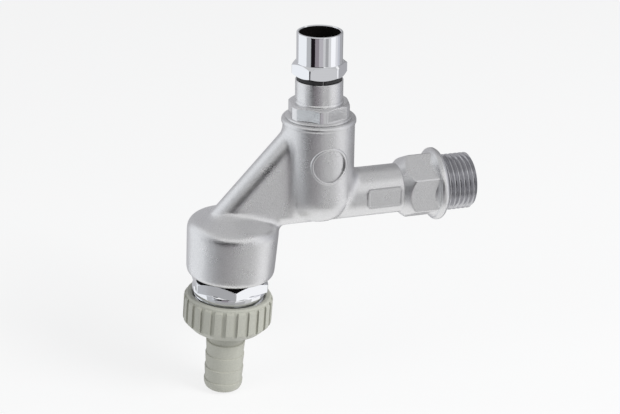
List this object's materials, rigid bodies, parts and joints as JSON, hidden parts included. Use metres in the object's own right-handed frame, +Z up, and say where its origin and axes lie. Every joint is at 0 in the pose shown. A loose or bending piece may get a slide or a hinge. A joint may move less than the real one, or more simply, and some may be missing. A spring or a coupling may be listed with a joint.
{
  "type": "bib tap",
  "caption": "Key-operated wall bib tap with a cast body, an open key sleeve on top, a vacuum breaker in the outlet cup and a ribbed hose union.",
  "frame": {"origin": "centre of the collar's wall side, on the axis of the inlet thread", "axes": "+Y along the inlet towards the wall, +Z up along the barrel and the key sleeve, x = 0 is the symmetry plane of the casting"},
  "size_m": [0.0334, 0.1098, 0.1362],
  "materials": {
    "satin_chrome": "cast brass, blasted and chrome plated, satin",
    "bright_chrome": "polished chrome plating",
    "brass": "turned",
    "black_rubber": "moulded",
    "spring_steel": "drawn wire",
    "natural_plastic": "moulded, natural",
    "union_plastic": "moulded, grey beige"
  },
  "bodies": {
    "root": {"body": "satin_chrome", "bonnet": "satin_chrome", "bonnet_seal": "black_rubber", "key_sleeve": "bright_chrome", "neck_ring": "black_rubber", "slip_washer": "natural_plastic", "check_gasket": "black_rubber", "check_housing": "natural_plastic", "check_guide": "natural_plastic", "check_spring": "spring_steel", "vent_diaphragm": "black_rubber", "vent_insert": "natural_plastic", "vent_body": "bright_chrome"},
    "stem": {"spindle": "brass", "spindle_seal_lower": "black_rubber", "spindle_seal_upper": "black_rubber", "spindle_clip": "spring_steel"},
    "carrier": {"valve_carrier": "brass", "valve_washer": "black_rubber", "washer_screw": "brass"},
    "poppet": {"check_poppet": "natural_plastic", "poppet_seal": "black_rubber"},
    "tail": {"hose_tail": "union_plastic", "hose_gasket": "black_rubber"},
    "nut": {"coupling_nut": "union_plastic"}
  },
  "joints": [
    {"name": "spindle_turn", "type": "hinge", "parent": "root", "child": "stem", "pos_m": [0, -0.0466, 0.04], "axis": [0, 0, 1], "range_deg": [0, 900]},
    {"name": "valve_lift", "type": "slide", "parent": "root", "child": "carrier", "axis": [0, 0, 1], "range_m": [0, 0.005]},
    {"name": "check_open", "type": "slide", "parent": "root", "child": "poppet", "axis": [0, -0.0732, -0.9973], "range_m": [0, 0.003], "stiffness_N_per_m": 60, "springref_m": -0.002, "deforming": ["check_spring"]},
    {"name": "union_drop", "type": "slide", "parent": "root", "child": "tail", "axis": [0, -0.0732, -0.9973], "range_m": [0, 0.00726]},
    {"name": "nut_unscrew", "type": "hinge", "parent": "tail", "child": "nut", "pos_m": [0, -0.08085, -0.04016], "axis": [0, -0.0732, -0.9973], "range_deg": [0, 1440]}
  ],
  "couplings": [
    {"joint": "spindle_turn", "follows": "valve_lift", "rad_per_m": 3141.6},
    {"joint": "nut_unscrew", "follows": "union_drop", "rad_per_m": 3463.7}
  ]
}
